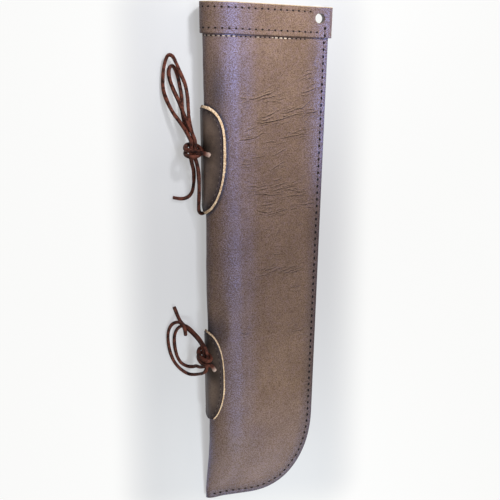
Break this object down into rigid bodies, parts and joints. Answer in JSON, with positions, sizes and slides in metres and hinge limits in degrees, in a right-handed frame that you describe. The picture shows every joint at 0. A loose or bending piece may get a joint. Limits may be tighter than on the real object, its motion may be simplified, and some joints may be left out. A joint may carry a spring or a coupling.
{
  "type": "bass bow holder",
  "caption": "Leather quiver for a double-bass bow: folded sheath with a sewn seam and rounded toe, banded mouth, and two side tabs with knotted ties",
  "frame": {"origin": "Centre of the bounding box seen from above, at the level of the table that the holder lies on", "axes": "+Y runs along the holder to its open mouth, +Z comes out of its front, +X points to the sewn seam"},
  "size_m": [0.1517, 0.457, 0.0334],
  "materials": {
    "sheath_leather": "brown smooth-grain leather with a soft violet sheen",
    "tab_leather": "darker olive-brown leather with raw tan edges",
    "lining": "thin tan leather, flesh side out",
    "dark_thread": "waxed dark brown thread",
    "pale_thread": "waxed pale thread",
    "lace": "round red-brown leather lace"
  },
  "bodies": {
    "root": {"sheath_body": "sheath_leather", "mouth_band": "sheath_leather", "mouth_facing": "lining", "upper_tab": "tab_leather", "lower_tab": "tab_leather", "front_seam_thread": "dark_thread", "back_seam_thread": "dark_thread", "band_upper_thread": "dark_thread", "band_lower_thread": "dark_thread", "facing_thread": "dark_thread", "upper_tab_thread": "pale_thread", "lower_tab_thread": "pale_thread", "upper_lace_lead": "lace", "upper_lace_knot": "lace", "upper_lace_outer_loop": "lace", "upper_lace_inner_loop": "lace", "upper_lace_tail": "lace", "lower_lace_lead": "lace", "lower_lace_knot": "lace", "lower_lace_outer_loop": "lace", "lower_lace_inner_loop": "lace", "lower_lace_tail": "lace"}
  },
  "joints": []
}
